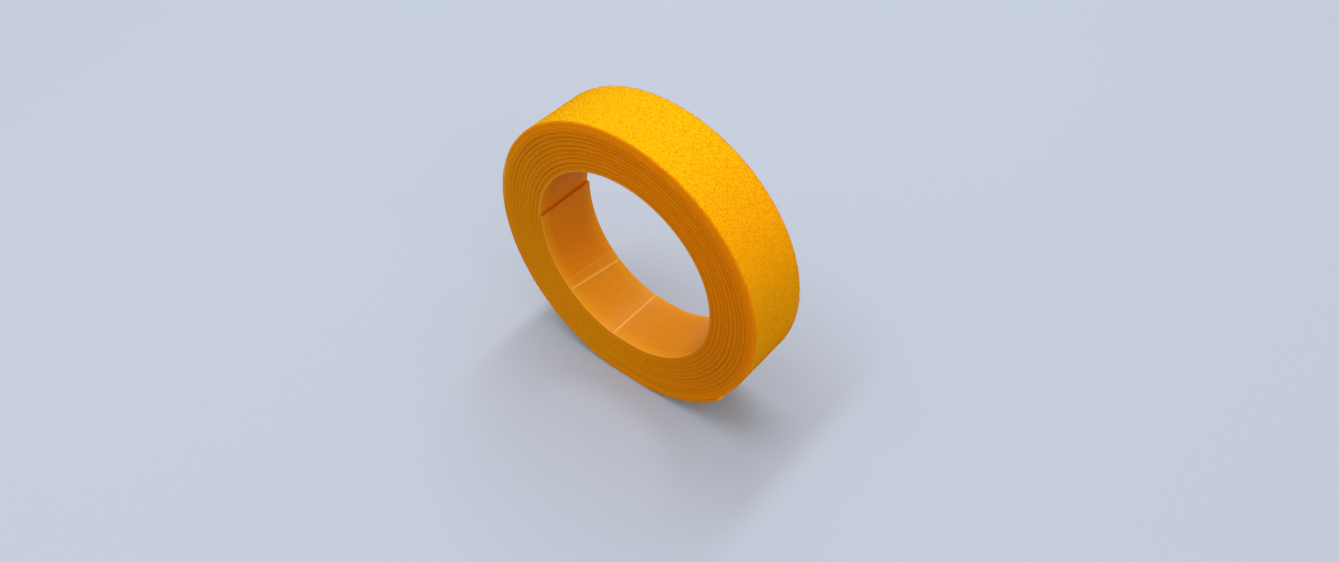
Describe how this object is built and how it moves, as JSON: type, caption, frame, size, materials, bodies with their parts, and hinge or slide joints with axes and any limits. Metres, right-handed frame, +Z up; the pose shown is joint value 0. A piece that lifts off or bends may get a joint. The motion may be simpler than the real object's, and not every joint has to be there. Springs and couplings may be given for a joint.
{
  "type": "hook and loop tape roll",
  "caption": "Coreless roll of back-to-back hook and loop tape standing on its rim, hooks facing the bore, with an outer and an inner end that peel.",
  "frame": {"origin": "under the middle of the roll, on the surface that it stands on", "axes": "+Z up; the roll's axis lies along Y; -Y is the side face that the picture shows; the tape's outer end lies low on the +X side and its inner end on the -X side of the bore"},
  "size_m": [0.0892, 0.02, 0.0893],
  "materials": {
    "loop_fabric": "matte",
    "hook_film": "satin"
  },
  "bodies": {
    "roll": {"loop_fabric_roll": "loop_fabric", "hook_film_roll": "hook_film"},
    "tail_1": {"loop_fabric_tail_1": "loop_fabric", "hook_film_tail_1": "hook_film"},
    "tail_2": {"loop_fabric_tail_2": "loop_fabric", "hook_film_tail_2": "hook_film"},
    "tail_3": {"loop_fabric_tail_3": "loop_fabric", "hook_film_tail_3": "hook_film"},
    "tail_4": {"loop_fabric_tail_4": "loop_fabric", "hook_film_tail_4": "hook_film"},
    "inner_end_1": {"loop_fabric_inner_end_1": "loop_fabric", "hook_film_inner_end_1": "hook_film"},
    "inner_end_2": {"loop_fabric_inner_end_2": "loop_fabric", "hook_film_inner_end_2": "hook_film"},
    "inner_end_3": {"loop_fabric_inner_end_3": "loop_fabric", "hook_film_inner_end_3": "hook_film"}
  },
  "joints": [
    {"name": "tail_peel_1", "type": "hinge", "parent": "roll", "child": "tail_1", "pos_m": [0.00704, 0, 0], "axis": [0, 1, 0], "range_deg": [0, 11]},
    {"name": "tail_peel_2", "type": "hinge", "parent": "tail_1", "child": "tail_2", "pos_m": [0.01478, 0, 0.00183], "axis": [0, 1, 0], "range_deg": [0, 11]},
    {"name": "tail_peel_3", "type": "hinge", "parent": "tail_2", "child": "tail_3", "pos_m": [0.02209, 0, 0.00499], "axis": [0, 1, 0], "range_deg": [0, 11]},
    {"name": "tail_peel_4", "type": "hinge", "parent": "tail_3", "child": "tail_4", "pos_m": [0.02874, 0, 0.00939], "axis": [0, 1, 0], "range_deg": [0, 11]},
    {"name": "inner_end_peel_1", "type": "hinge", "parent": "roll", "child": "inner_end_1", "pos_m": [-0.02471, 0, 0.02966], "axis": [0, 1, 0], "range_deg": [0, 14]},
    {"name": "inner_end_peel_2", "type": "hinge", "parent": "inner_end_1", "child": "inner_end_2", "pos_m": [-0.02693, 0, 0.03429], "axis": [0, 1, 0], "range_deg": [0, 14]},
    {"name": "inner_end_peel_3", "type": "hinge", "parent": "inner_end_2", "child": "inner_end_3", "pos_m": [-0.0283, 0, 0.03924], "axis": [0, 1, 0], "range_deg": [0, 14]}
  ],
  "couplings": [
    {"joint": "tail_peel_2", "follows": "tail_peel_1", "ratio": 1},
    {"joint": "tail_peel_3", "follows": "tail_peel_1", "ratio": 1},
    {"joint": "tail_peel_4", "follows": "tail_peel_1", "ratio": 1},
    {"joint": "inner_end_peel_2", "follows": "inner_end_peel_1", "ratio": 1},
    {"joint": "inner_end_peel_3", "follows": "inner_end_peel_1", "ratio": 1}
  ]
}
